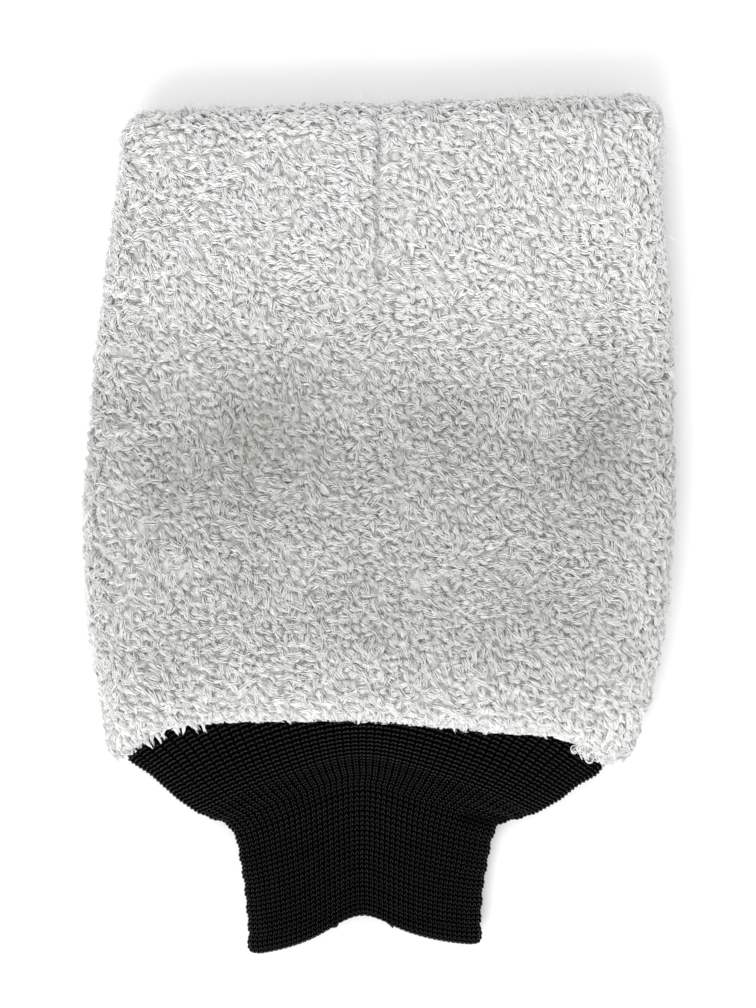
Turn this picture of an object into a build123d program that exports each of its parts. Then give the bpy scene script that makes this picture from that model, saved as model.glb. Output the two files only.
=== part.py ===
from build123d import *
import os

# Car wash mitt: a white plush hand bag with a lining, a stitched finger divider and a black knitted cuff.
# It lies flat on its back face. +Y runs from the cuff to the finger end, +Z is up. All sizes are in mm.

# ---- driving dimensions ----
MITT_HEIGHT = 28.0          # lying flat and empty, pile included
SEAM_Z = 13.0               # height of the side seam, where front and back plush meet
POCKET_LOW = 6.5            # top of the back plush
POCKET_HIGH = 19.5          # underside of the front plush
LINING = 0.7                # lining cloth
KNIT = 2.0                  # knitted cuff wall
WELT_PROUD = 0.5            # the welt is this much thicker than the sleeve, each side
WELT_WIDTH = 5.0
FOLD_GAP = 0.35             # between flare and sleeve, at the wrist fold
WRIST_Y = -106.6            # the cuff folds here
SLEEVE_LOW = 0.7            # underside of the sleeve
SLEEVE_HIGH = 13.2          # top of the sleeve
SEAM_GAP = 0.9              # between plush and knit, filled by the joining thread
THREAD = 0.8                # thickness of a seam's thread
SEAM_INSET = 3.0            # the side seam runs this far inside the pile's edge
SIDE_SEAM_X = 20.0          # the left and right seams lie outside this
CORNER_Y = 128.0            # the side seams end and the top seam starts here
CORNER_GAP = 0.3            # between them
JOINING_DEPTH = 0.6         # the joining thread runs this far inside the knit's outside
TOP_TILT = 1.8              # the finger end is cut this many degrees off square
ROUND_REACH = 30.0          # length of the finger end over which it is drawn in

DIVIDER_X = -1.0            # the stitched divider's line
DIVIDER_START = 79.0        # its lower end
DIVIDER_RIB = 4.0           # width of the layers that it pinches together
FIRST_STITCH = 3.5          # from the divider's lower end to its first stitch
STITCH_PITCH = 3.6
STITCH_LENGTH = 3.0
STITCH_COUNT = 14
STITCH_TOP = 23.0
STITCH_LOW = 3.0
TACK_WIDTH = 7.0
GROOVE_WIDTH = 7.0

ELASTIC_COUNT = 6
ELASTIC_START = 2.0         # from the wrist fold to the first elastic thread
ELASTIC_PITCH = 3.2
ELASTIC = 0.8

FAR = 400.0                 # larger than the mitt

# Sections across the mitt: y, left x, right x, low z, high z, turn in degrees.
# The underside is cut flat at z = 0 afterwards.
BODY = [
    (-84.0, -80.0, 76.0, 6.0, 19.0, 0),
    (-81.5, -84.0, 80.5, 3.5, 21.5, 0),
    (-76.0, -89.0, 84.5, 0.5, 24.5, 0),
    (-60.0, -94.0, 91.5, -1.0, 27.4, 0),
    (-30.0, -99.0, 97.5, -1.0, 28.0, 0),
    (5.0, -99.9, 100.1, -1.0, 28.0, 0),
    (60.0, -95.6, 99.4, -1.0, 28.0, 0),
    (112.0, -89.2, 95.8, -1.0, 28.0, TOP_TILT),
    (131.0, -86.2, 95.3, -1.0, 27.0, TOP_TILT),
    (137.5, -83.0, 92.5, 0.5, 25.0, TOP_TILT),
    (140.8, -78.0, 88.0, 4.0, 21.0, TOP_TILT),
    (142.0, -70.0, 80.0, 8.5, 16.5, TOP_TILT),
]
POCKET = [
    (-95.0, -82.0, 74.5, POCKET_LOW, POCKET_HIGH, 0),
    (-62.0, -83.0, 78.0, POCKET_LOW, POCKET_HIGH, 0),
    (-30.0, -90.0, 88.5, POCKET_LOW, POCKET_HIGH, 0),
    (5.0, -91.9, 92.1, POCKET_LOW, POCKET_HIGH, 0),
    (60.0, -87.6, 91.4, POCKET_LOW, POCKET_HIGH, 0),
    (112.0, -81.2, 87.8, POCKET_LOW, POCKET_HIGH, TOP_TILT),
    (129.0, -77.0, 84.0, POCKET_LOW + 1, POCKET_HIGH - 1, TOP_TILT),
    (133.5, -71.0, 78.0, POCKET_LOW + 3.5, POCKET_HIGH - 3.5, TOP_TILT),
]
FLARE = [
    (-56.0, -83.5, 77.5, POCKET_LOW - KNIT, POCKET_HIGH + KNIT, 0),
    (-68.0, -84.0, 77.5, POCKET_LOW - KNIT, POCKET_HIGH + KNIT, 0),
    (-79.5, -84.0, 77.0, 3.4, 20.0, 0),
    (-84.5, -76.8, 73.5, 2.6, 18.6, 0),
    (-88.0, -73.2, 67.3, 2.2, 17.6, 0),
    (-93.0, -68.0, 61.5, 1.6, 16.2, 0),
    (-97.5, -61.8, 53.8, 1.2, 15.2, 0),
    (-101.5, -51.2, 40.2, 0.9, 14.2, 0),
    (WRIST_Y, -47.8, 38.0, SLEEVE_LOW, SLEEVE_HIGH, 0),
]
SLEEVE = [
    (WRIST_Y, -47.8, 38.0, SLEEVE_LOW, SLEEVE_HIGH, 0),
    (-123.0, -45.0, 35.0, SLEEVE_LOW, SLEEVE_HIGH, 0),
    (-150.0, -42.5, 33.0, SLEEVE_LOW, SLEEVE_HIGH, 0),
]
# Seen from above: where the knit joins the plush, and the edge of the cuff's mouth.
SEAM_LINE = [
    (-110, -82),
    (-84, -77.8),
    (-72, -69.5),
    (-58, -66),
    (3, -66),
    (42, -70.5),
    (62, -71.5),
    (78, -81),
    (110, -86),
]
MOUTH_LINE = [(-60, -146), (-41, -144.4), (-22, -138.5), (-6, -132), (9, -136.4), (28, -140.8), (50, -141.5)]


def section(y, left, right, low, high, turn, inset):
    """One rounded section across the mitt, drawn in at every side by inset."""
    centre = Pos((left + right) / 2, y, (low + high) / 2) * Rot(0, 0, turn) * Rot(90, 0, 0)
    return centre * SlotOverall(right - left - 2 * inset, high - low - 2 * inset)


def form(sections, inset=0.0, end_inset=0.0):
    """A soft body through the sections. end_inset draws the finger end in along Y."""
    last = sections[-1][0]
    faces = []
    for y, left, right, low, high, turn in sections:
        near_end = max(0.0, 1 - (last - y) / ROUND_REACH) if end_inset else 0.0
        faces.append(section(y - end_inset * near_end, left, right, low, high, turn, inset))
    return loft(faces, ruled=True)


def slab(axis, low, high):
    """Everything between two planes square to one axis."""
    size = [FAR, FAR, FAR]
    place = [0.0, 0.0, 0.0]
    size[axis] = high - low
    place[axis] = (low + high) / 2
    return Pos(*place) * Box(*size)


def below(line, shift=0.0):
    """Everything on the cuff's side of a line seen from above, moved along Y by shift."""
    points = [(x, y + shift) for x, y in line]
    edge = Spline(*points)
    first, last = points[0], points[-1]
    sides = Polyline(last, (last[0], -FAR), (first[0], -FAR), first)
    return Pos(0, 0, -FAR / 2) * extrude(make_face([edge, sides]), FAR)


def ring(height, length, width):
    """One stitch: a loop of thread through the layers, square to X."""
    return Box(width, length, height) - Box(width * 2, length - 2 * THREAD, height - 2 * THREAD)


def divider_groove(top, low):
    """A V groove along the divider, in the front and the back face."""
    half = GROOVE_WIDTH / 2
    above = Polyline((-half, top), (0, STITCH_TOP - THREAD), (half, top), (-half, top))
    under = Polyline((-half / 2, low), (0, STITCH_LOW + THREAD), (half / 2, low), (-half / 2, low))
    parts = []
    for wire in (above, under):
        face = make_face(Plane.XZ * wire)
        parts.append(Pos(DIVIDER_X, DIVIDER_START, 0) * extrude(face, FAR, dir=(0, 1, 0)))
    return parts


# ---- plush, lining and their seams ----
front_half = slab(2, SEAM_Z, FAR)
back_half = slab(2, -FAR, SEAM_Z)
cuff_side = below(SEAM_LINE, SEAM_GAP / 2)
rib = Pos(DIVIDER_X, DIVIDER_START + FAR / 2, 0) * Box(DIVIDER_RIB, FAR, FAR)

outer = form(BODY) - slab(2, -FAR, 0) - cuff_side
pocket = form(POCKET) - rib
hollow = form(POCKET, LINING, LINING) - Pos(DIVIDER_X, DIVIDER_START - LINING + FAR / 2, 0) * Box(
    DIVIDER_RIB + 2 * LINING, FAR, FAR
)

seam_band = form(BODY, SEAM_INSET, SEAM_INSET) - form(BODY, SEAM_INSET + THREAD, SEAM_INSET + THREAD)
seam_band = (seam_band & slab(2, SEAM_Z - THREAD / 2, SEAM_Z + THREAD / 2)) - cuff_side
left_thread = seam_band & slab(0, -FAR, -SIDE_SEAM_X) & slab(1, -FAR, CORNER_Y)
right_thread = seam_band & slab(0, SIDE_SEAM_X, FAR) & slab(1, -FAR, CORNER_Y)
top_thread = seam_band & slab(1, CORNER_Y + CORNER_GAP, FAR)

stitches = []
for i in range(STITCH_COUNT):
    y = DIVIDER_START + FIRST_STITCH + i * STITCH_PITCH
    stitches.append(
        Pos(DIVIDER_X, y, (STITCH_TOP + STITCH_LOW) / 2) * ring(STITCH_TOP - STITCH_LOW, STITCH_LENGTH, THREAD)
    )
tack = Pos(DIVIDER_X, DIVIDER_START, (STITCH_TOP + STITCH_LOW) / 2) * (
    Rot(0, 0, 90) * ring(STITCH_TOP - STITCH_LOW, TACK_WIDTH, 2 * THREAD)
)

plush = outer - pocket - seam_band - tack
for cutter in stitches + divider_groove(MITT_HEIGHT + 1, -1):
    plush = plush - cutter
front_plush = plush & front_half
back_plush = plush & back_half

lining = (pocket - hollow) - cuff_side - tack
front_lining = lining & front_half
back_lining = lining & back_half

# ---- knitted cuff ----
knit_side = below(SEAM_LINE, -SEAM_GAP / 2)
flare = (form(FLARE) - form(FLARE, KNIT)) & knit_side
flare = flare & slab(1, WRIST_Y + FOLD_GAP / 2, FAR)
joining_thread = (form(FLARE, JOINING_DEPTH) - form(FLARE, JOINING_DEPTH + THREAD)) & cuff_side
joining_thread = joining_thread - knit_side

mouth = below(MOUTH_LINE)
welt_side = below(MOUTH_LINE, WELT_WIDTH)
sleeve_form = form(SLEEVE)
bore = form(SLEEVE, KNIT)
sleeve = (sleeve_form - bore - welt_side) & slab(1, -FAR, WRIST_Y - FOLD_GAP / 2)
welt = ((form(SLEEVE, -WELT_PROUD) - bore) & welt_side) - mouth
band = form(SLEEVE, KNIT - ELASTIC) - bore
elastic = []
for i in range(ELASTIC_COUNT):
    y = WRIST_Y - ELASTIC_START - i * ELASTIC_PITCH
    elastic.append(band & slab(1, y - ELASTIC, y))
for one in elastic:
    sleeve = sleeve - one

nodes = {
    "front_plush_panel": front_plush,
    "back_plush_panel": back_plush,
    "front_lining": front_lining,
    "back_lining": back_lining,
    "left_side_seam_thread": left_thread,
    "right_side_seam_thread": right_thread,
    "top_seam_thread": top_thread,
    "divider_stitches": Compound(stitches),
    "divider_end_tack": tack,
    "cuff_joining_thread": joining_thread,
    "cuff_flare": flare,
    "cuff_sleeve": sleeve,
    "cuff_welt": welt,
    "cuff_elastic_threads": Compound(elastic),
}

# ---- the origin is under the middle of the whole mitt ----
whole = Compound([solid for shape in nodes.values() for solid in shape.solids()]).bounding_box()
shift = Pos(-(whole.min.X + whole.max.X) / 2, -(whole.min.Y + whole.max.Y) / 2, -whole.min.Z)
os.makedirs("parts", exist_ok=True)
for name, shape in nodes.items():
    solids = shape.solids()
    placed = [shift * solid for solid in solids]
    export_step(placed[0] if len(placed) == 1 else Compound(placed), f"parts/{name}.step")
print("wrist hinge, mm:", shift.position.Y + WRIST_Y, shift.position.Z + SLEEVE_HIGH)
print("size, mm:", whole.size)
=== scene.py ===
import math

import bpy
import numpy as np
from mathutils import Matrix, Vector
from mathutils.bvhtree import BVHTree


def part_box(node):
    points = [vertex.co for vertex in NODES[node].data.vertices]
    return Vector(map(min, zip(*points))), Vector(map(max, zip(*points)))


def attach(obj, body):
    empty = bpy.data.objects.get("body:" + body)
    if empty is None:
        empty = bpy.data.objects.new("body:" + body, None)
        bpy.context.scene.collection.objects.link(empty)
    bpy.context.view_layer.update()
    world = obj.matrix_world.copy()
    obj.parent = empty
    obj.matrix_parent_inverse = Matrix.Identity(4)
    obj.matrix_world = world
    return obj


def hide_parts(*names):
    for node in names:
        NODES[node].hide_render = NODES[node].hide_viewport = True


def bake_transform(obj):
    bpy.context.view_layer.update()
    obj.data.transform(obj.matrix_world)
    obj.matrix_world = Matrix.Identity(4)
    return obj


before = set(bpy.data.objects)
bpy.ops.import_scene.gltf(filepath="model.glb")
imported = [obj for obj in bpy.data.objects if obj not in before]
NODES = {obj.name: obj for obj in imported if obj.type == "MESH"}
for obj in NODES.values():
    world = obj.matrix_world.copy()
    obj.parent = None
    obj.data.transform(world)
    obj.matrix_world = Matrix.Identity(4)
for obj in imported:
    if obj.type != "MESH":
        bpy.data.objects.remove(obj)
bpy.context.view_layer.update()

# Wash mitt. Metres, in the CAD's frame: +Y from the cuff to the finger end, +Z up, lying on Z = 0.
MM = 0.001
SEED = 11

# ---- camera: straight above the middle of the mitt ----
CAMERA_HEIGHT = 0.765
CAMERA_LENS = 80.0
CAMERA_AT = (-0.0003, 0.0070)


def make_camera():
    """A long lens straight above, with +Y at the top of the picture."""
    data = bpy.data.cameras.new("camera")
    data.lens = CAMERA_LENS
    camera = bpy.data.objects.new("camera", data)
    camera.location = (CAMERA_AT[0], CAMERA_AT[1], CAMERA_HEIGHT)
    bpy.context.scene.collection.objects.link(camera)
    bpy.context.scene.camera = camera


make_camera()
bpy.context.scene.view_settings.view_transform = "Standard"


# ---- reading the CAD ----
def tree_of(*objects):
    """The surface of some objects, to cast rays at."""
    verts, faces = [], []
    for mesh in (piece.data for piece in objects):
        first = len(verts)
        verts += [v.co.copy() for v in mesh.vertices]
        faces += [tuple(first + i for i in p.vertices) for p in mesh.polygons]
    return BVHTree.FromPolygons(verts, faces)


def hits(tree, origins, direction, axis):
    """Where rays from the origins first meet the surface, along one axis. Misses are filled in."""
    found = []
    for origin in origins:
        point = tree.ray_cast(Vector(origin), Vector(direction))[0]
        found.append(np.nan if point is None else point[axis])
    found = np.array(found)
    good = np.isfinite(found)
    return np.interp(np.arange(len(found)), np.flatnonzero(good), found[good])


def side_line(tree, ys, zs, side, middle=0.0):
    """The left (-1) or right (1) edge of a shape, as x and y, where rays from that side meet its own half."""
    line = []
    for y in ys:
        points = [tree.ray_cast(Vector((side, y, z)), Vector((-side, 0, 0)))[0] for z in zs]
        found = [p.x for p in points if p is not None and (p.x - middle) * side > 0]
        if found:
            line.append((max(found) if side > 0 else min(found), y))
    return np.array(line)


def smoothstep(low, high, x):
    """From 0 at low to 1 at high, with soft ends."""
    t = np.clip((x - low) / (high - low), 0, 1)
    return t * t * (3 - 2 * t)


def bell(x, middle, width):
    """1 at the middle, and less further away."""
    return np.exp(-(((x - middle) / width) ** 2))


def unit(v):
    """Vectors cut to a length of 1."""
    return v / np.maximum(np.linalg.norm(v, axis=-1, keepdims=True), 1e-12)


NOISE_CELLS = 64            # the noise repeats after this many features
NOISE_OFFSET = (31.3, 17.7)


def noise(x, y, size, seed):
    """Smooth noise from -1 to 1 over a plane, with features of about the given size."""
    cells = NOISE_CELLS
    lattice = np.random.default_rng(seed).uniform(-1, 1, (cells, cells))
    gx, gy = np.asarray(x) / size + NOISE_OFFSET[0], np.asarray(y) / size + NOISE_OFFSET[1]
    ix, iy = np.floor(gx).astype(int), np.floor(gy).astype(int)
    fx, fy = gx - ix, gy - iy
    fx, fy = fx * fx * (3 - 2 * fx), fy * fy * (3 - 2 * fy)
    a, b, c, d = (lattice[(ix + i) % cells, (iy + j) % cells] for j in (0, 1) for i in (0, 1))
    return (a * (1 - fx) + b * fx) * (1 - fy) + (c * (1 - fx) + d * fx) * fy


def along(line, count):
    """A line's points again, count of them, evenly spaced."""
    line = np.asarray(line, float)
    length = np.concatenate([[0], np.cumsum(np.linalg.norm(np.diff(line, axis=0), axis=1))])
    at = np.linspace(0, length[-1], count)
    return np.stack([np.interp(at, length, line[:, k]) for k in range(line.shape[1])], axis=1)


def smooth_loop(line, reach):
    """A closed line, rounded over about reach points each way."""
    steps = np.arange(-3 * reach, 3 * reach + 1)
    weights = np.exp(-0.5 * (steps / reach) ** 2)
    weights /= weights.sum()
    return sum(w * np.roll(line, -int(s), axis=0) for s, w in zip(steps, weights))


# ---- meshes from arrays ----
def mesh_piece(name, verts, quads, tris=None, material=None, values=None, uv=None):
    """An object with smooth faces. values are numbers for each point that its material reads."""
    tris = np.zeros((0, 3), int) if tris is None else tris
    mesh = bpy.data.meshes.new(name)
    mesh.vertices.add(len(verts))
    mesh.vertices.foreach_set("co", np.asarray(verts, np.float32).ravel())
    corners = np.concatenate([quads.ravel(), tris.ravel()]).astype(np.int32)
    mesh.loops.add(len(corners))
    mesh.loops.foreach_set("vertex_index", corners)
    starts = np.concatenate([np.arange(len(quads)) * 4, len(quads) * 4 + np.arange(len(tris)) * 3])
    mesh.polygons.add(len(starts))
    mesh.polygons.foreach_set("loop_start", starts.astype(np.int32))
    mesh.polygons.foreach_set("use_smooth", np.ones(len(starts), bool))
    for key, value in (values or {}).items():
        layer = mesh.attributes.new(key, "FLOAT", "POINT")
        layer.data.foreach_set("value", np.asarray(value, np.float32).ravel())
    if uv is not None:
        layer = mesh.uv_layers.new(name="OFBake")
        layer.data.foreach_set("uv", np.asarray(uv, np.float32)[corners].ravel())
    mesh.update(calc_edges=True)
    piece = bpy.data.objects.new(name, mesh)
    bpy.context.scene.collection.objects.link(piece)
    if material is not None:
        mesh.materials.append(material)
    return piece


def plan_map(verts, low, high):
    """Each point's place in the plan of a box, from 0 to 1, as the map of a dense piece's surface."""
    low, high = np.array(low[:2]), np.array(high[:2])
    return np.clip((verts[:, :2] - low) / (high - low), 0, 1)


def grid_normals(points, wrap=False):
    """Normals of a grid of points, from its two directions."""
    if wrap:
        across = np.roll(points, -1, axis=0) - np.roll(points, 1, axis=0)
    else:
        across = np.gradient(points, axis=0)
    return unit(np.cross(across, np.gradient(points, axis=1)))


def shell(points, normals, thickness, wrap=False):
    """A closed cloth of even thickness whose outer face is a grid of points."""
    nu, nv = points.shape[:2]
    verts = np.concatenate([points.reshape(-1, 3), (points - normals * thickness).reshape(-1, 3)])
    iu = np.arange(nu if wrap else nu - 1)
    iv = np.arange(nv - 1)
    a, b = np.meshgrid(iu, iv, indexing="ij")
    a, b, c = a.ravel(), b.ravel(), (a.ravel() + 1) % nu
    outer = np.stack([a * nv + b, c * nv + b, c * nv + b + 1, a * nv + b + 1], axis=1)
    inner = outer[:, ::-1] + nu * nv
    rims = []
    for edge in (0, nv - 1):
        low, high = iu * nv + edge, ((iu + 1) % nu) * nv + edge
        rim = np.stack([low, low + nu * nv, high + nu * nv, high], axis=1)
        rims.append(rim if edge == 0 else rim[:, ::-1])
    if not wrap:
        for edge in (0, nu - 1):
            low, high = edge * nv + iv, edge * nv + iv + 1
            rim = np.stack([low, high, high + nu * nv, low + nu * nv], axis=1)
            rims.append(rim if edge == 0 else rim[:, ::-1])
    return verts, np.concatenate([outer, inner] + rims)


def tubes(paths, radii, sides, face, closed=False):
    """Round strands along many paths at once, with closed ends unless they are rings. face points across."""
    count, steps = paths.shape[:2]
    if closed:
        run = np.roll(paths, -1, axis=1) - np.roll(paths, 1, axis=1)
    else:
        run = np.gradient(paths, axis=1)
    run = unit(run)
    a = unit(np.cross(run, np.broadcast_to(np.asarray(face, float), run.shape)))
    b = np.cross(run, a)
    turn = np.arange(sides) * 2 * math.pi / sides
    spokes = np.cos(turn)[:, None] * a[:, :, None, :] + np.sin(turn)[:, None] * b[:, :, None, :]
    verts = paths[:, :, None, :] + np.asarray(radii)[..., None, None] * spokes
    first = np.arange(count)[:, None, None] * steps * sides
    k = np.arange(steps if closed else steps - 1)[None, :, None]
    i = np.arange(sides)[None, None, :]
    this, after = k * sides, (k + 1) % steps * sides
    near, far = i, (i + 1) % sides
    corners = (this + near, this + far, after + far, after + near)
    quads = np.stack([(first + corner).ravel() for corner in corners], axis=1)
    tris = np.zeros((0, 3), int)
    if not closed:
        fan = np.arange(1, sides - 1)[None, :]
        start = np.arange(count)[:, None] * steps * sides
        end = start + (steps - 1) * sides
        caps = (start + 0 * fan, start + fan + 1, start + fan), (end + 0 * fan, end + fan, end + fan + 1)
        tris = np.concatenate([np.stack(cap, axis=-1).reshape(-1, 3) for cap in caps])
    return verts.reshape(-1, 3), quads, tris


def joined(parts):
    """Several lots of points, quads and triangles as one."""
    first, verts, quads, tris = 0, [], [], []
    for v, q, t in parts:
        verts.append(v)
        quads.append(q + first)
        tris.append(t + first)
        first += len(v)
    return np.concatenate(verts), np.concatenate(quads), np.concatenate(tris)


# ---- materials ----
WAVE_REPEAT = 0.314         # metres between the bands of a wave texture whose scale is 1


def new_material(name, roughness, sheen=0.0, specular=0.5):
    """A material with its nodes, links and shader."""
    material = bpy.data.materials.new(name)
    material.use_nodes = True
    shader = material.node_tree.nodes["Principled BSDF"]
    shader.inputs["Roughness"].default_value = roughness
    shader.inputs["Sheen Weight"].default_value = sheen
    shader.inputs["Specular IOR Level"].default_value = specular
    return material, material.node_tree.nodes, material.node_tree.links, shader


def two_colours(nodes, links, factor, dark, light, shader):
    """The base colour goes from dark to light with a factor."""
    ramp = nodes.new("ShaderNodeValToRGB")
    ramp.color_ramp.elements[0].color = (*dark, 1)
    ramp.color_ramp.elements[1].color = (*light, 1)
    links.new(factor, ramp.inputs["Fac"])
    links.new(ramp.outputs["Color"], shader.inputs["Base Color"])


def bump_from(nodes, links, height, shader, strength, distance):
    """Small relief from a height."""
    bump = nodes.new("ShaderNodeBump")
    bump.inputs["Strength"].default_value = strength
    bump.inputs["Distance"].default_value = distance
    links.new(height, bump.inputs["Height"])
    links.new(bump.outputs["Normal"], shader.inputs["Normal"])


def pile_material():
    """Twisted microfibre strands, whiter at the tip and a little greyer and warmer at the root with painted
    shade; the tint attribute, which holds random tone and painted shade, runs them from warm grey to white.
    """
    material, nodes, links, shader = new_material("pile", 0.36, 0.1, 0.55)
    tint = nodes.new("ShaderNodeAttribute")
    tint.attribute_name = "tint"
    two_colours(nodes, links, tint.outputs["Fac"], (0.5, 0.495, 0.46), (0.97, 0.97, 0.965), shader)
    return material


def wave_height(nodes, links, place, direction, pitch, distortion, detail):
    """Bands this far apart across an object."""
    wave = nodes.new("ShaderNodeTexWave")
    wave.bands_direction = direction
    wave.inputs["Scale"].default_value = WAVE_REPEAT / pitch
    wave.inputs["Distortion"].default_value = distortion
    wave.inputs["Detail"].default_value = detail
    links.new(place.outputs["Object"], wave.inputs["Vector"])
    return wave.outputs["Fac"]


def woven_material(name, dark, light, pitch, roughness=0.85, specular=0.3):
    """Plain cloth: two crossed sets of threads, in the object's own frame."""
    material, nodes, links, shader = new_material(name, roughness, 0.0, specular)
    place = nodes.new("ShaderNodeTexCoord")
    both = nodes.new("ShaderNodeMath")
    both.operation = "MULTIPLY"
    for k, direction in enumerate("XY"):
        links.new(wave_height(nodes, links, place, direction, pitch, 1.5, 1.0), both.inputs[k])
    two_colours(nodes, links, both.outputs[0], dark, light, shader)
    bump_from(nodes, links, both.outputs[0], shader, 0.5, 0.0002)
    return material


def yarn_material(name, dark, light, twist, roughness, specular=0.3):
    """Spun yarn or sewing thread: fine slanting plies with uneven colour."""
    material, nodes, links, shader = new_material(name, roughness, 0.0, specular)
    place = nodes.new("ShaderNodeTexCoord")
    cloud = nodes.new("ShaderNodeTexNoise")
    cloud.inputs["Scale"].default_value = 1 / twist
    cloud.inputs["Detail"].default_value = 3.0
    links.new(place.outputs["Object"], cloud.inputs["Vector"])
    two_colours(nodes, links, cloud.outputs["Fac"], dark, light, shader)
    ply = wave_height(nodes, links, place, "DIAGONAL", twist, 4.0, 2.0)
    bump_from(nodes, links, ply, shader, 0.4, 0.0001)
    return material


PILE = pile_material()
GROUND = woven_material("plush_ground", (0.9, 0.89, 0.87), (0.96, 0.96, 0.95), 0.9 * MM)
LINING = woven_material("lining", (0.5, 0.5, 0.5), (0.78, 0.78, 0.77), 0.7 * MM)
WHITE_THREAD = yarn_material("white_thread", (0.7, 0.7, 0.68), (0.9, 0.9, 0.89), 0.5 * MM, 0.7)
BLACK_THREAD = yarn_material("black_thread", (0.008, 0.008, 0.009), (0.03, 0.03, 0.033), 0.5 * MM, 0.6)
KNIT_YARN = yarn_material(
    "knit_yarn", (0.0002, 0.0002, 0.0004), (0.0016, 0.0018, 0.0024), 0.7 * MM, 0.24, 0.2
)
KNIT_BACK = woven_material(
    "knit_back", (0.0002, 0.0002, 0.0003), (0.0008, 0.0008, 0.001), 1.2 * MM, 0.9, 0.02
)
ELASTIC = yarn_material("elastic", (0.008, 0.008, 0.008), (0.025, 0.025, 0.025), 1.5 * MM, 0.45)

# ---- shape of the plush, from the CAD ----
SEAM_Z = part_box("front_plush_panel")[0].z
PLUSH_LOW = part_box("back_plush_panel")[0]
PLUSH_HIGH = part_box("front_plush_panel")[1]
FLARE_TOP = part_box("cuff_flare")[1].z
MOUTH_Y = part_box("cuff_welt")[0].y
PILE_SIDE = 3.4 * MM        # how far the pile reaches past its ground cloth, at the sides
PILE_FRONT = 3.2 * MM       # and above
PILE_BACK = 3.6 * MM        # and below
CORNER_Y = PLUSH_HIGH.y - 5 * MM    # where the sides end
EDGE_ROUND = 12.0 * MM      # how far in a face takes to reach its full height, from an edge
SEAM_ROUND = 9.0 * MM       # and from the seam with the knit
SEAM_DROP = 2.0 * MM        # how far the seam lies below the CAD's edge, on the left
SEAM_RISE = 1.0 * MM        # and above it, on the right
SEAM_HALF_WIDTH = 72 * MM
CORNER_REACH = 8 * MM
OUTLINE_POINTS = 1000
SIDE_POINTS = 800
PUCKER = 0.5 * MM           # small gathers in the plush beside the knit
PUCKER_PITCH = 8.5 * MM
PUCKER_REACH = 7 * MM
DIVIDER_WIDTH = 2.3 * MM
DIVIDER_LOW, DIVIDER_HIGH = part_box("divider_stitches")
DIVIDER_X = (DIVIDER_LOW.x + DIVIDER_HIGH.x) / 2
TACK_Y = sum(corner.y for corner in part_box("divider_end_tack")) / 2

plush_tree = tree_of(NODES["front_plush_panel"], NODES["back_plush_panel"])
front_tree = tree_of(NODES["front_plush_panel"])
cuff_tree = tree_of(NODES["cuff_flare"], NODES["cuff_sleeve"], NODES["cuff_welt"])


def seam_at(xs):
    """Where the plush ends and the knit starts: the CAD's edge, lower on the left and higher on the right."""
    z = FLARE_TOP + 0.6 * MM
    edge = hits(front_tree, [(x, -1, z) for x in xs], (0, 1, 0), 1)
    drop = SEAM_DROP * bell(xs, -28 * MM, 22 * MM)
    rise = SEAM_RISE * bell(xs, 32 * MM, 18 * MM)
    return edge - drop + rise


def plush_outline():
    """The plush seen from above, as a closed line from the lower left corner round to the left side again."""
    z = SEAM_Z - 0.5 * MM
    ys = np.arange(PLUSH_LOW.y, PLUSH_HIGH.y, 1.0 * MM)
    left = side_line(plush_tree, ys, [z], -1)
    right = side_line(plush_tree, ys, [z], 1)
    left, right = (line[line[:, 1] < CORNER_Y] for line in (left, right))
    top_x = np.arange(left[-1, 0] + 2 * MM, right[-1, 0] - 2 * MM, 1.5 * MM)
    top = hits(plush_tree, [(x, 1, z) for x in top_x], (0, -1, 0), 1)
    seam_x = np.arange(left[0, 0] + 1.5 * MM, right[0, 0] - 1 * MM, 1.5 * MM)
    seam = np.stack([seam_x, seam_at(seam_x)], axis=1)
    top = np.stack([top_x, top], axis=1)
    line = np.concatenate([seam, right, top[::-1], left[::-1], seam[:1]])
    return smooth_loop(along(line, OUTLINE_POINTS)[:-1], 3)


OUTLINE = plush_outline()


def ground_outline(inset):
    """The outline drawn in: not at all along the seam where the knit joins, and less at the corners."""
    run = unit(np.roll(OUTLINE, -1, axis=0) - np.roll(OUTLINE, 1, axis=0))
    outward = np.stack([run[:, 1], -run[:, 0]], axis=1)
    on_seam = (outward[:, 1] < -0.5) & (np.abs(OUTLINE[:, 0]) < SEAM_HALF_WIDTH)
    amount = np.where(on_seam, 0.0, inset)
    for way, share in (((-1, 1), 0.9), ((1, 1), 0.9), ((-1, -1), 0.7), ((1, -1), 0.5)):
        tip = OUTLINE[np.argmax(OUTLINE @ np.array(way))]
        gap = np.linalg.norm(OUTLINE - tip, axis=1)
        amount = amount * (1 - share * bell(gap, 0, CORNER_REACH))
    amount = smooth_loop(amount[:, None], 4)
    return smooth_loop(OUTLINE - outward * amount, 4)


def four_sides(line):
    """The seam, right, top and left of a closed outline, each towards +X or +Y."""
    corners = [np.argmax(line @ np.array(d)) for d in ((-1, -1), (1, -1), (1, 1), (-1, 1))]
    line = np.roll(line, -corners[0], axis=0)
    at = [(c - corners[0]) % len(line) for c in corners[1:]]
    sides = np.split(line, at) + [line]
    seam, right, top, left = (np.concatenate([sides[k], sides[k + 1][:1]]) for k in range(4))
    return seam, right, top[::-1], left[::-1]


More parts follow.
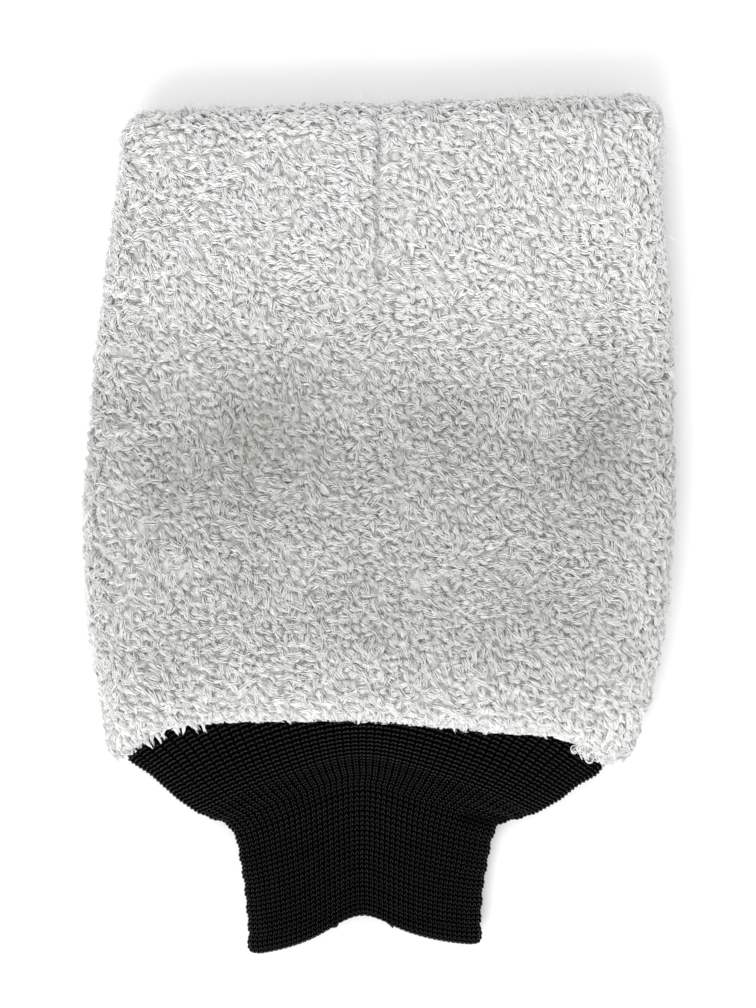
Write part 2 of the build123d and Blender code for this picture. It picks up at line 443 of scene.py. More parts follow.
def patch(line, nu, nv):
    """A grid of points in the plane that fills a closed outline, closer together near the edges."""
    seam, right, top, left = four_sides(line)
    u = (1 - np.cos(math.pi * np.linspace(0, 1, nu))) / 2
    v = (1 - np.cos(math.pi * np.linspace(0, 1, nv))) / 2

    def at(side, t):
        dense, index = along(side, SIDE_POINTS), np.arange(SIDE_POINTS)
        return np.stack([np.interp(t * index[-1], index, dense[:, k]) for k in (0, 1)], axis=1)

    low, high = at(seam, u)[:, None], at(top, u)[:, None]
    first, last = at(left, v)[None], at(right, v)[None]
    u, v = u[:, None, None], v[None, :, None]
    corners = (1 - u) * (1 - v) * seam[0] + u * (1 - v) * seam[-1]
    corners = corners + (1 - u) * v * top[0] + u * v * top[-1]
    return (1 - v) * low + v * high + (1 - u) * first + u * last - corners


def distance_to(points, line):
    """How far each point is from a line's points."""
    flat = points.reshape(-1, 2)
    best = np.full(len(flat), np.inf)
    for start in range(0, len(line), 100):
        gap = flat[:, None, :] - line[None, start : start + 100]
        best = np.minimum(best, np.sqrt((gap**2).sum(-1)).min(1))
    return best.reshape(points.shape[:-1])


def hill(x, y, at, width, height):
    """A round rise."""
    return height * np.exp(-((x - at[0]) ** 2 + (y - at[1]) ** 2) / (2 * width**2))


def crease(x, y, start, end, depth, width=1.5 * MM):
    """A short fold line."""
    p, d = np.array(start), np.array(end) - np.array(start)
    t = np.clip(((x - p[0]) * d[0] + (y - p[1]) * d[1]) / (d @ d), 0, 1)
    gap = np.hypot(x - p[0] - t * d[0], y - p[1] - t * d[1])
    return -depth * bell(gap, 0, width)


def divider_dip(x, y):
    """How near a place is to the bottom of the divider's groove, from 0 to 1."""
    return bell(x, DIVIDER_X, DIVIDER_WIDTH) * smoothstep(TACK_Y - 3 * MM, TACK_Y + 4 * MM, y)


def front_relief(x, y):
    """How the upper face rises and falls: puffed corners, a hollow middle, the divider, small folds."""
    lift = hill(x, y, (-78 * MM, -58 * MM), 17 * MM, 3.6 * MM)
    lift = lift + hill(x, y, (76 * MM, -60 * MM), 17 * MM, 3.0 * MM)
    for side in (-1, 1):
        lift = lift + hill(x, y, (side * 45 * MM, 100 * MM), 32 * MM, 1.2 * MM)
    lift = lift + 1.3 * MM * bell(y, -22 * MM, 26 * MM)
    lift = lift - 2.2 * MM * bell(y, 52 * MM, 30 * MM)
    lift = lift - 3.8 * MM * divider_dip(x, y)
    lift = lift + hill(x, y, (DIVIDER_X, TACK_Y - 4 * MM), 3 * MM, 1.4 * MM)
    folds = ((-64.5, -38), (-69, -53), 1.8), ((-20, -55), (-24, -62), 1.2), ((-50, -50), (-57, -62), 1.6)
    for start, end, depth in folds:
        lift = lift + crease(x, y, np.array(start) * MM, np.array(end) * MM, depth * MM)
    return lift + 0.9 * MM * noise(x, y, 24 * MM, 3) + 0.75 * MM * noise(x, y, 9 * MM, 4)


def plush_surface(front, inset, nu=110, nv=130, sink=0.0):
    """A grid of points on the ground cloth of one face, with its normals. sink goes further inside."""
    line = ground_outline(inset)
    seam, right, top, left = four_sides(line)
    plan = patch(line, nu, nv)
    x, y = plan[..., 0], plan[..., 1]
    from_side = np.min([distance_to(plan, along(side, 3 * len(side))) for side in (right, top, left)], axis=0)
    from_side[0], from_side[-1], from_side[:, -1] = 0, 0, 0
    from_seam = distance_to(plan, along(seam, 3 * len(seam)))
    from_seam[:, 0] = 0
    dome = np.sqrt(np.clip(1 - (1 - np.clip(from_side / EDGE_ROUND, 0, 1)) ** 2, 0, 1))
    roll = np.sqrt(np.clip(1 - (1 - np.clip(from_seam / SEAM_ROUND, 0, 1)) ** 2, 0, 1))
    if front:
        full = PLUSH_HIGH.z - PILE_FRONT - sink + front_relief(x, y)
        edge = FLARE_TOP - 2.0 * MM - sink
        pucker = PUCKER * np.sin(x * 2 * math.pi / PUCKER_PITCH) * np.exp(-from_seam / PUCKER_REACH)
        z = SEAM_Z + (edge + (full - edge) * roll + pucker - SEAM_Z) * dome
    else:
        full = PILE_BACK + sink + 0.3 * MM * noise(x, y, 20 * MM, 8)
        edge = 5.0 * MM + sink
        z = SEAM_Z + (edge + (full - edge) * roll - SEAM_Z) * dome
    points = np.stack([x, y, z], axis=-1)
    normals = grid_normals(points)
    if not front:
        normals = -normals
    return points, normals, from_seam


# ---- pile ----
LOCK_HALF_WIDTH = 0.85 * MM
STRAND_SIDES = 3
STRAND_SHAPE = np.array([0.8, 1.0, 1.05, 0.9, 0.45])    # thickness from root to tip, as shares
PAINTED_ROOT_SHADE = np.array([0.95, 1.0, 1.0, 1.0, 1.0])     # painted shade at the root: whiteness from root to tip, as shares
TRIES = 4                   # random places for each one that is kept
CELL_KEY = 7919             # a prime, to number the scatter's cells


def scatter(points, normals, extra, spacing, rng):
    """Even but random places on a grid surface: place, normal and one more value."""
    a = points[1:, :-1] - points[:-1, :-1]
    b = points[:-1, 1:] - points[:-1, :-1]
    area = np.linalg.norm(np.cross(a, b), axis=-1)
    count = int(area.sum() / spacing**2 * TRIES)
    cell = rng.choice(area.size, count, p=(area / area.sum()).ravel())
    i, j = np.unravel_index(cell, area.shape)
    u, v = rng.random((2, count, 1))

    def mix(field):
        low = field[i, j] * (1 - u) + field[i + 1, j] * u
        high = field[i, j + 1] * (1 - u) + field[i + 1, j + 1] * u
        return low * (1 - v) + high * v

    place, normal, value = mix(points), unit(mix(normals)), mix(extra[..., None])[:, 0]
    key = np.floor(place / spacing).astype(np.int64)
    key = key[:, 0] * CELL_KEY * CELL_KEY + key[:, 1] * CELL_KEY + key[:, 2]
    keep = np.sort(np.unique(key, return_index=True)[1])
    return place[keep], normal[keep], value[keep]


def lean_field(place, normal, rng, spread):
    """The pile mostly leans towards the lower right, and wanders."""
    x, y = place[:, 0], place[:, 1]
    angle = -0.72 + 0.6 * noise(x, y, 26 * MM, 21) + 0.6 * noise(x, y, 7 * MM, 22)
    angle = angle + rng.normal(0, spread, len(x))
    flat = np.stack([np.cos(angle), np.sin(angle), np.zeros(len(x))], axis=1)
    return unit(flat - (flat * normal).sum(1, keepdims=True) * normal)


def lock_paths(place, normal, lean, tall, reach, droop, curl, strands, rng):
    """Locks of strands that rise together, lean over, curl to one side and come to a soft point."""
    n = len(place)
    who = np.repeat(np.arange(n), strands)
    m = len(who)
    fan = np.tile(np.linspace(-1, 1, strands), n) + rng.normal(0, 0.14, m)
    normal, lean = normal[who], lean[who]
    side = np.cross(normal, lean)
    arch = 1 - 0.25 * fan**2
    h = (tall[who] * arch * rng.uniform(0.9, 1.08, m))[:, None]
    r = (reach[who] * rng.uniform(0.85, 1.15, m))[:, None]
    d = (droop[who] + rng.uniform(-0.1, 0.1, m))[:, None]
    bend = (curl[who] + rng.normal(0, 0.18 * MM, m))[:, None] * side
    across = (fan * LOCK_HALF_WIDTH)[:, None] * side
    root = place[who] + lean * rng.normal(0, 0.35 * MM, (m, 1))
    steps = [
        root + across * 0.6 - normal * 0.3 * MM,
        root + across * 0.95 + normal * h * 0.6 + lean * r * 0.08 - bend * 0.25,
        root + across * 1.05 + normal * h * 1.0 + lean * r * 0.42 + bend * 0.1,
        root + across * 0.8 + normal * h * (1 - 0.4 * d) + lean * r * 0.82 + bend * 0.7,
        root + across * 0.4 + normal * h * (1 - d) + lean * r * 1.08 + bend * 1.5,
    ]
    return np.stack(steps, axis=1), who, normal


def strand_piece(name, paths, thick, facing, shade):
    """Strands of pile as one piece."""
    verts, quads, tris = tubes(paths, thick, STRAND_SIDES, facing[:, None, :])
    uv = plan_map(verts, PLUSH_LOW, PLUSH_HIGH)
    tint = np.repeat(shade.ravel(), STRAND_SIDES)
    piece = mesh_piece(name, verts, quads, tris, PILE, {"tint": tint}, uv)
    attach(piece, "mitt")
    return piece


def painted_shade_bands(x, y):
    """Painted shade: how much greyer the pile is made, most across the middle, least at the two ends."""
    band = 0.6 * bell(y, 25 * MM, 36 * MM) + 0.34 * bell(y, -32 * MM, 24 * MM)
    patchy = 1 + 0.35 * noise(x, y, 30 * MM, 33)
    return band * patchy * (1 - 0.5 * smoothstep(70 * MM, 95 * MM, np.abs(x)))


def pile_pieces(prefix, front, spacing, strands, height, radius, zones, seed):
    """The pile of one face, in zones from the cuff to the finger end."""
    rng = np.random.default_rng(seed)
    points, normals, from_seam = plush_surface(front, PILE_SIDE)
    place, normal, seam_gap = scatter(points, normals, from_seam, spacing, rng)
    n = len(place)
    x, y = place[:, 0], place[:, 1]
    corner = smoothstep(70 * MM, 80 * MM, np.abs(x + 3 * MM))
    short = smoothstep(0.0, 6 * MM, seam_gap) * (1 - corner) + corner
    dip = divider_dip(x, y) * (1.0 if front else 0.6)
    tall = height * rng.uniform(0.72, 1.05, n) * (1 + 0.2 * noise(x, y, 4 * MM, 31))
    tall = tall * (0.2 + 0.8 * short) * (1 - 0.6 * dip)
    reach = rng.uniform(2.0, 3.8, n) * MM * (0.35 + 0.65 * short)
    droop = rng.uniform(0.2, 0.75, n)
    curl = rng.normal(0, 0.85 * MM, n)
    lean = lean_field(place, normal, rng, 0.4)
    upright = unit(normal + rng.normal(0, 0.13, (n, 3)))
    paths, who, facing = lock_paths(place, upright, lean, tall, reach, droop, curl, strands, rng)
    paths[..., 2] = np.maximum(paths[..., 2], 0.3 * MM)
    thick = radius * rng.uniform(0.8, 1.2, len(who))[:, None] * STRAND_SHAPE
    # Random tone, less the painted shade in two bands across the face.
    tint = np.clip(rng.uniform(0.86, 1.06, n) - painted_shade_bands(x, y), 0, 1)
    # Painted shade: the pile on the low side walls is made darker, down to half at the bottom.
    tint = tint * (0.5 + 0.5 * smoothstep(3 * MM, 14 * MM, place[:, 2]))
    # Painted shade on the low side walls at the two lower corners, beside the cuff.
    rim = (1 - smoothstep(13 * MM, 21 * MM, place[:, 2])) * smoothstep(40 * MM, 62 * MM, -y)
    tint = np.clip(tint - 0.5 * rim, 0, 1)
    # Painted shade at the root of each strand.
    shade = np.clip(tint[who][:, None] * PAINTED_ROOT_SHADE, 0, 1)
    order = np.argsort(y[who], kind="stable")
    return [
        strand_piece(f"{prefix}_{k + 1}", paths[chosen], thick[chosen], facing[chosen], shade[chosen])
        for k, chosen in enumerate(np.array_split(order, zones))
    ]


def cloth(name, front, node, inset, sink, thickness, material, slot):
    """A ground cloth or a lining, in place of its CAD node."""
    points, normals, _ = plush_surface(front, inset, 90, 110, sink)
    verts, quads = shell(points, normals, thickness)
    if not front:
        quads = quads[:, ::-1]
    piece = mesh_piece(name, verts, quads, None, material)
    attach(piece, "mitt")
    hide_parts(node)
    return piece


front_pile = pile_pieces("front_pile", True, 1.85 * MM, 8, PILE_FRONT, 0.145 * MM, 15, SEED)
back_pile = pile_pieces("back_pile", False, 2.4 * MM, 5, PILE_BACK, 0.2 * MM, 5, SEED + 1)
# Inset from the outline, depth under the ground cloth's face, thickness, material and slot.
GROUND_CLOTH = (PILE_SIDE, 0.0, 1.0 * MM, GROUND, "plush")
LINING_CLOTH = (6 * MM, 1.8 * MM, 0.5 * MM, LINING, "lining")
front_ground = cloth("front_ground", True, "front_plush_panel", *GROUND_CLOTH)
back_ground = cloth("back_ground", False, "back_plush_panel", *GROUND_CLOTH)
front_lining = cloth("front_lining_cloth", True, "front_lining", *LINING_CLOTH)
back_lining = cloth("back_lining_cloth", False, "back_lining", *LINING_CLOTH)


# ---- sewing ----
THREAD = 0.22 * MM
THREAD_SIDES = 6
THREAD_FACE = (0.3, 0.2, 1.0)       # a direction that no thread runs in
STITCH_POINTS = 8


def thread_piece(name, paths, material, node, closed=False):
    """Sewing thread along some paths, in place of its CAD node."""
    radii = np.full(paths.shape[:2], THREAD)
    verts, quads, tris = tubes(paths, radii, THREAD_SIDES, THREAD_FACE, closed)
    piece = mesh_piece(name, verts, quads, tris, material)
    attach(piece, "mitt")
    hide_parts(node)


def seam_stitches(name, line, node, pitch=3.2 * MM):
    """A lockstitch along a seam: two threads that hook round each other between the panels."""
    count = int(np.linalg.norm(np.diff(line, axis=0), axis=1).sum() / pitch) * STITCH_POINTS
    plan = along(line, count)
    run = unit(np.gradient(plan, axis=0))
    beside = np.stack([run[:, 1], -run[:, 0]], axis=1)
    phase = np.arange(count) * 2 * math.pi / STITCH_POINTS
    paths = []
    for side in (1, -1):
        z = SEAM_Z + side * (0.42 * MM + 0.3 * MM * np.cos(phase))
        xy = plan + beside * (0.12 * MM * side * np.sin(phase))[:, None]
        paths.append(np.column_stack([xy, z]))
    thread_piece(name, np.array(paths), WHITE_THREAD, node)


def sew_edges():
    """Lockstitches down both sides and across the finger end, which stop short of the corners."""
    _, right, top, left = four_sides(ground_outline(3.2 * MM))
    trim = 12               # points of the outline
    seam_stitches("left_seam_stitches", left[trim:-trim], "left_side_seam_thread")
    seam_stitches("right_seam_stitches", right[trim:-trim], "right_side_seam_thread")
    seam_stitches("top_seam_stitches", top[trim:-trim], "top_seam_thread")


def ground_heights(x, ys):
    """The outside of the front and back ground cloth along a line."""
    high = hits(tree_of(front_ground), [(x, y, 1) for y in ys], (0, 0, -1), 2)
    low = hits(tree_of(back_ground), [(x, y, -1) for y in ys], (0, 0, 1), 2)
    return high, low


def squared(wave, power):
    """A sine or cosine with squarer shoulders."""
    return np.sign(wave) * np.abs(wave) ** power


def divider_loops(count=14):
    """Stitches right through the mitt that part the two finger pockets, pulled tight."""
    ys = np.linspace(DIVIDER_LOW.y, DIVIDER_HIGH.y, count + 1)
    middle, half = (ys[:-1] + ys[1:]) / 2, (ys[1] - ys[0]) / 2 - 0.12 * MM
    high, low = ground_heights(DIVIDER_X, middle)
    turn = np.linspace(0, 2 * math.pi, 32, endpoint=False)
    power = 0.35
    y = middle[:, None] + half * squared(np.cos(turn), power)
    z = (high + low)[:, None] / 2 + ((high - low) / 2 + 0.1 * MM)[:, None] * squared(np.sin(turn), power)
    x = np.broadcast_to(DIVIDER_X + 0.12 * MM * np.cos(turn * 2), y.shape)
    paths = np.stack([x, y, z], axis=-1)
    thread_piece("divider_thread", paths, WHITE_THREAD, "divider_stitches", closed=True)


def bar_tack(turns=9):
    """A close row of loops over the divider's end, through both faces."""
    low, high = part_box("divider_end_tack")
    top, bottom = ground_heights(DIVIDER_X, [TACK_Y])
    angle = np.linspace(0, 2 * math.pi, 20, endpoint=False)
    power = 0.4
    y = TACK_Y + 0.9 * MM * squared(np.cos(angle), power)
    z = (top + bottom) / 2 + ((top - bottom) / 2 + 0.1 * MM) * squared(np.sin(angle), power)
    xs = np.linspace(low.x + 0.4 * MM, high.x - 0.4 * MM, turns)
    paths = np.array([np.column_stack([x + 0.25 * MM * np.sin(angle), y, z]) for x in xs])
    thread_piece("divider_tack", paths, WHITE_THREAD, "divider_end_tack", closed=True)


sew_edges()
divider_loops()
bar_tack()


# ---- knitted cuff ----
WALES = 100                 # columns of stitches all the way round
LIP_COURSES = 3             # rows of stitches that turn in over the mouth
COURSES = 57                # rows of stitches along the side, from the seam to the mouth
COURSE_ARCH = 33.0 * MM     # the first row would rise this far in the middle; the seam cuts across the rows
CUFF_BOX = (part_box("cuff_flare")[0].x, MOUTH_Y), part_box("cuff_flare")[1]
SLEEVE_WALL_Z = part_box("cuff_sleeve")[1].z - 1.0 * MM
SECTION_POWER = 2 / 2.6     # under 1, so squarer than an ellipse
SECTION_HALF = (42, 6.3)    # half width and half height in mm, to space points evenly
YARN_INSET = 0.9 * MM       # from the CAD's outside to the middle of the yarn
VALLEY = 5.0 * MM           # the hollow down the middle of the sleeve
VALLEY_WIDTH = 7.5 * MM
SWELL = 1.2 * MM            # the knit stands up beside the plush


class Cuff:
    """The knitted tube's middle surface: s goes round from the left edge, t from the seam to the mouth."""

    def __init__(self, count_s=800, count_t=240):
        ys = np.arange(-70 * MM, MOUTH_Y, -0.7 * MM)
        levels = np.arange(4, 15, 1.0) * MM
        middle = (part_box("cuff_sleeve")[0].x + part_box("cuff_sleeve")[1].x) / 2
        left = side_line(cuff_tree, ys, levels, -1, middle)
        right = side_line(cuff_tree, ys, levels, 1, middle)
        beside = middle + 20 * MM
        top = hits(cuff_tree, [(beside, y, 1) for y in ys], (0, 0, -1), 2)
        low = hits(cuff_tree, [(beside, y, -1) for y in ys], (0, 0, 1), 2)
        t = np.linspace(0, 1, count_t)
        left = along(left[np.argmin(left[:, 0]) :], count_t)
        right = along(right[np.argmax(right[:, 0]) :], count_t)
        s = np.arange(count_s) / count_s
        xh, zh = self.section(s)
        across = (xh[:, None] + 1) / 2
        x = left[None, :, 0] * (1 - across) + right[None, :, 0] * across
        xs = np.linspace(left[0, 0] + 2 * MM, right[0, 0] - 2 * MM, 80)
        xm = np.linspace(left[-1, 0] + 3 * MM, right[-1, 0] - 3 * MM, 80)
        mouth = hits(cuff_tree, [(v, -1, SLEEVE_WALL_Z) for v in xm], (0, 1, 0), 1)
        edge_y = left[None, :, 1] * (1 - across) + right[None, :, 1] * across
        mouth_y = np.interp(x[:, -1:], xm, mouth) + 0.6 * MM
        settle = 1 - (1 - t[None, :]) ** 2
        arch = COURSE_ARCH * (1 - xh[:, None] ** 2)
        y = edge_y + (1 - settle) * arch + settle * (mouth_y - edge_y[:, -1:])
        above_seam = y - np.interp(x, xs, seam_at(xs))
        top, low = np.interp(-y, -ys, top), np.interp(-y, -ys, low)
        z = (top + low) / 2 + zh[:, None] * ((top - low) / 2 - YARN_INSET)
        centre_x = (left[None, :, 0] + right[None, :, 0]) / 2
        valley = bell(x, centre_x, VALLEY_WIDTH) * smoothstep(0.5, 0.95, t)[None, :]
        swell = SWELL * bell(t, 0.12, 0.12)[None, :]
        front = np.clip(zh[:, None] * 2, 0, 1)
        z = z - front * VALLEY * valley + front * swell * (1 - np.abs(xh[:, None]) ** 4)
        z = z + front * crease(x, y, (30 * MM, -97 * MM), (44 * MM, -99 * MM), 2.6 * MM, 2.6 * MM)
        z = z + front * 0.5 * MM * noise(x, y, 16 * MM, 41)
        self.points = np.stack([x, y, z], axis=-1)
        normal = grid_normals(self.points, wrap=True)
        outward = self.points - self.points.mean(axis=0, keepdims=True)
        if (normal * outward).sum() < 0:
            normal = -normal
        self.normals = normal
        self.xh = xh
        first = np.argmax(above_seam <= 0.5 * MM, axis=1)
        self.seam_t = smooth_loop(t[first][:, None], 2)[:, 0]

    def start(self, s):
        """How far along the knit the seam lies, at each place round."""
        count = len(self.seam_t)
        return np.interp((s % 1.0) * count, np.arange(count + 1), np.append(self.seam_t, self.seam_t[0]))

    @staticmethod
    def section(s):
        """Evenly spaced points round a flattened tube, as shares of its half width and half height."""
        turn = np.linspace(0, 2 * math.pi, 4001)
        x = -squared(np.cos(turn), SECTION_POWER)
        z = squared(np.sin(turn), SECTION_POWER)
        step = np.hypot(np.diff(x) * SECTION_HALF[0], np.diff(z) * SECTION_HALF[1])
        length = np.concatenate([[0], np.cumsum(step)])
        at = s * length[-1]
        return np.interp(at, length, x), np.interp(at, length, z)

    def at(self, s, t):
        """Points and normals at any s and t."""
        ns, nt = self.points.shape[:2]
        fs = (s % 1.0) * ns
        ft = np.clip(t, 0, 1) * (nt - 1)
        i, j = np.floor(fs).astype(int) % ns, np.minimum(np.floor(ft).astype(int), nt - 2)
        u, v = (fs - np.floor(fs))[..., None], (ft - j)[..., None]
        k = (i + 1) % ns
        out = []
        for field in (self.points, self.normals):
            low = field[i, j] * (1 - u) + field[k, j] * u
            high = field[i, j + 1] * (1 - u) + field[k, j + 1] * u
            out.append(low * (1 - v) + high * v)
        return out[0], unit(out[1])

    def lip(self, s, angle, radius):
        """The rolled edge of the mouth: from the outside (angle 0) over the end to the inside (pi)."""
        place, normal = self.at(s, np.ones_like(s))
        down = unit(place - self.at(s, np.full_like(s, 0.97))[0])
        c, d = np.cos(angle)[..., None], np.sin(angle)[..., None]
        return place - normal * LIP_ROUND + (normal * c + down * d) * radius, unit(normal * c + down * d)


LIP_ROUND = 0.95 * MM
KNIT_BACK_DEPTH = 0.1 * MM
KNIT_BACK_ROWS = 110
YARN_SIDES = 5
cuff = Cuff()

# One stitch: share of the pitch across, share of the row along, height. LADDER is the stretched knit near
# the plush, where the heads stand out as rungs. CHEVRON is the gathered sleeve, where the two legs stand out.
LADDER = np.array(
    [(-0.5, 0.10, -2.1), (-0.43, 0.30, -0.8), (-0.36, 0.10, 0.15), (-0.21, -0.12, 0.70),
     (0.0, 0.14, -0.75), (0.21, -0.12, 0.70), (0.36, 0.10, 0.15), (0.43, 0.30, -0.8)]
)
CHEVRON = np.array(
    [(-0.5, 0.16, -1.2), (-0.40, 0.38, -0.2), (-0.25, 0.10, 0.65), (-0.10, -0.30, 0.50),
     (0.0, -0.48, -0.40), (0.10, -0.30, 0.50), (0.25, 0.10, 0.65), (0.40, 0.38, -0.2)]
)
YARN = 0.27 * MM
FINE_FROM = 0.36            # share of the way to the mouth where the gathered knit begins
STRETCHED_YARN = 0.46 * MM


def runs_of(kept):
    """Unbroken runs round a ring of stitches, as first and one past the last, which may pass the end."""
    count = len(kept)
    starts = [i for i in range(count) if kept[i] and not kept[i - 1]]
    return [(i, i + next(n for n in range(1, count + 1) if not kept[(i + n) % count])) for i in starts]


def knit_pieces(groups):
    """Every course is one yarn that loops right round the cuff."""
    k = len(LADDER)
    stitch = np.arange(WALES)
    pieces = []
    for number, rows in enumerate(np.array_split(np.arange(COURSES + LIP_COURSES), groups)):
        base_s, base_t = np.broadcast_arrays(
            (stitch[None, :, None] + 0.5) / WALES, (rows[:, None, None] + 0.5) / COURSES
        )
        xh = np.interp(base_s, np.arange(len(cuff.xh)) / len(cuff.xh), cuff.xh)
        fine = smoothstep(FINE_FROM - 0.02, FINE_FROM + 0.02, base_t)
        shape = LADDER[None, None] * (1 - fine[..., None]) + CHEVRON[None, None] * fine[..., None]
        s = base_s + shape[..., 0] / WALES
        t = base_t + shape[..., 1] / COURSES
        place, normal = cuff.at(s, np.minimum(t, 1.0))
        here, _ = cuff.at(base_s, np.minimum(base_t, 1.0))
        there, _ = cuff.at(base_s + 1 / WALES, np.minimum(base_t, 1.0))
        pitch = np.linalg.norm(there - here, axis=-1)
        depth = np.clip(pitch * 0.27, 0.4 * MM, 0.75 * MM)
        ridge = 0.26 * MM * np.cos(base_t * COURSES * 2 * math.pi / 4) * fine
        welt = 0.1 * MM * smoothstep(0.93, 0.96, base_t)
        side = smoothstep(0.9, 1.0, np.abs(xh)) * (1 - fine)
        lift = shape[..., 2] * depth + ridge + welt
        lift = np.where(lift > 0, lift * (1 - 0.9 * side), lift)
        turn = np.clip((t - 1) * COURSES / LIP_COURSES, 0, 1) * math.pi
        rolled, outward = cuff.lip(s, turn, LIP_ROUND)
        over = (t > 1)[..., None]
        place = np.where(over, rolled, place)
        normal = np.where(over, outward, normal)
        place = place + normal * lift[..., None]
        thick = (YARN * fine + STRETCHED_YARN * (1 - fine) * (1 - 0.25 * side)) * np.ones(k)
        ring = (len(rows), WALES * k)
        place, normal, thick = place.reshape(*ring, 3), normal.reshape(*ring, 3), thick.reshape(ring)
        kept = (base_t >= cuff.start(base_s)).reshape(len(rows), WALES)
        whole = kept.all(axis=1)
        parts = []
        if whole.any():
            parts.append(tubes(place[whole], thick[whole], YARN_SIDES, normal[whole], closed=True))
        for row in np.flatnonzero(~whole):
            for first, last in runs_of(kept[row]):
                span = np.arange(first * k, last * k) % (WALES * k)
                run = (place[row, span], thick[row, span], normal[row, span])
                parts.append(tubes(run[0][None], run[1][None], YARN_SIDES, run[2][None]))
        verts, quads, tris = joined(parts)
        uv = plan_map(verts, *CUFF_BOX)
        piece = mesh_piece(f"cuff_knit_{number + 1}", verts, quads, tris, KNIT_YARN, uv=uv)
        pieces.append(piece)
    return pieces


def cross_wrist(piece):
    """The piece's placement, put into its points."""
    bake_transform(piece)


knit = knit_pieces(4)


def knit_back():
    """The inside of the knit, a dense close wall behind the loops, turned in at the mouth."""
    s = np.arange(260) / 260
    share = np.linspace(0, 1.0, KNIT_BACK_ROWS)[None, :]
    start = cuff.start(s)[:, None]
    grid_t = start + (1 - start) * share
    grid_s = s[:, None] + 0 * grid_t
    place, normal = cuff.at(grid_s, grid_t)
    outside = place - normal * KNIT_BACK_DEPTH
    angles = np.linspace(0, math.pi, 8)[1:]
    roll_s, roll_angle = np.meshgrid(s, angles, indexing="ij")
    rolled, _ = cuff.lip(roll_s, roll_angle, LIP_ROUND - KNIT_BACK_DEPTH)
    grid = np.concatenate([outside, rolled], axis=1)
    normals = grid_normals(grid, wrap=True)
    if (normals[:, :KNIT_BACK_ROWS] * normal).sum() < 0:
        normals = -normals
    verts, quads = shell(grid, normals, 0.35 * MM, wrap=True)
    return mesh_piece("cuff_knit_back", verts, quads, None, KNIT_BACK)


back_of_knit = knit_back()
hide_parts("cuff_flare")
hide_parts("cuff_sleeve")
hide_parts("cuff_welt")


def rings(name, ts, depth, radius, material):
    """Threads that run round the cuff at some heights."""
    s = np.arange(240) / 240
    grid_t, grid_s = np.meshgrid(ts, s, indexing="ij")
    place, normal = cuff.at(grid_s, grid_t)
    verts, quads, _ = tubes(place - normal * depth, np.full(grid_s.shape, radius), 6, normal, closed=True)
    piece = mesh_piece(name, verts, quads, None, material)
    return piece


elastic = rings("cuff_elastic", np.linspace(0.58, 0.90, 6), 1.2 * MM, 0.28 * MM, ELASTIC)
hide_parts("cuff_elastic_threads")
for part in knit + [back_of_knit, elastic]:
    cross_wrist(part)


def joining_stitches(loops=150, steps=10):
    """An overlock stitch that winds round the edge where the knit joins the plush."""
    s = np.arange(loops * steps) / (loops * steps)
    start = cuff.start(s)
    place, normal = cuff.at(s, start)
    ahead = unit(cuff.at(s, start + 0.03)[0] - place)
    turn = np.arange(loops * steps) * 2 * math.pi / steps
    bed = place - normal * 1.0 * MM - ahead * 0.6 * MM
    path = bed + normal * (0.75 * MM * np.cos(turn))[:, None] + ahead * (1.0 * MM * np.sin(turn))[:, None]
    node = "cuff_joining_thread"
    thread_piece("cuff_joining_stitches", path[None], BLACK_THREAD, node, closed=True)


joining_stitches()


# ---- loose pile at the corners ----
def loose_strands(name, roots, lean, length, rise, curl, radius, seed, steps=9, stray=0.22):
    """Longer strands that hang over the knit or stand out at a corner, with a curl along them."""
    rng = np.random.default_rng(seed)
    n = len(roots)
    t = np.linspace(0, 1, steps)[None, :, None]
    lean = unit(lean + rng.normal(0, stray, (n, 3)))
    side = unit(np.cross(lean, np.array([0, 0, 1.0])))
    each = (n, 1, 1)
    long = length * rng.uniform(0.65, 1.15, each)
    high = rise * rng.uniform(0.6, 1.2, each)
    phase = rng.uniform(0, 2 * math.pi, each)
    sway = curl * rng.uniform(0.5, 1.2, each)
    turns = rng.uniform(0.6, 1.4, each) * 2 * math.pi
    paths = roots[:, None] + lean[:, None] * long * t
    paths = paths + np.array([0, 0, 1.0]) * high * np.sin(t * math.pi * 0.75)
    paths = paths + side[:, None] * sway * (np.sin(turns * t + phase) - np.sin(phase))
    paths = paths + np.array([0, 0, 0.6]) * sway * (np.cos(turns * t + phase) - np.cos(phase))
    paths[..., 2] = np.maximum(paths[..., 2], 0.4 * MM)
    taper = np.interp(np.linspace(0, 1, steps), [0, 0.3, 0.8, 1], [0.8, 1, 0.9, 0.4])
    thick = radius * rng.uniform(0.8, 1.2, n)[:, None] * taper
    shade = np.clip(rng.uniform(0.8, 1.0, n)[:, None] * np.ones(steps), 0, 1)
    strand_piece(name, paths, thick, np.tile([0.0, 0.0, 1.0], (n, 1)), shade)


def near(spots, count, spread, rng):
    """Random places round some spots."""
    picked = np.asarray(spots)[rng.integers(0, len(spots), count)]
    return picked + rng.normal(0, 1, (count, 3)) * spread


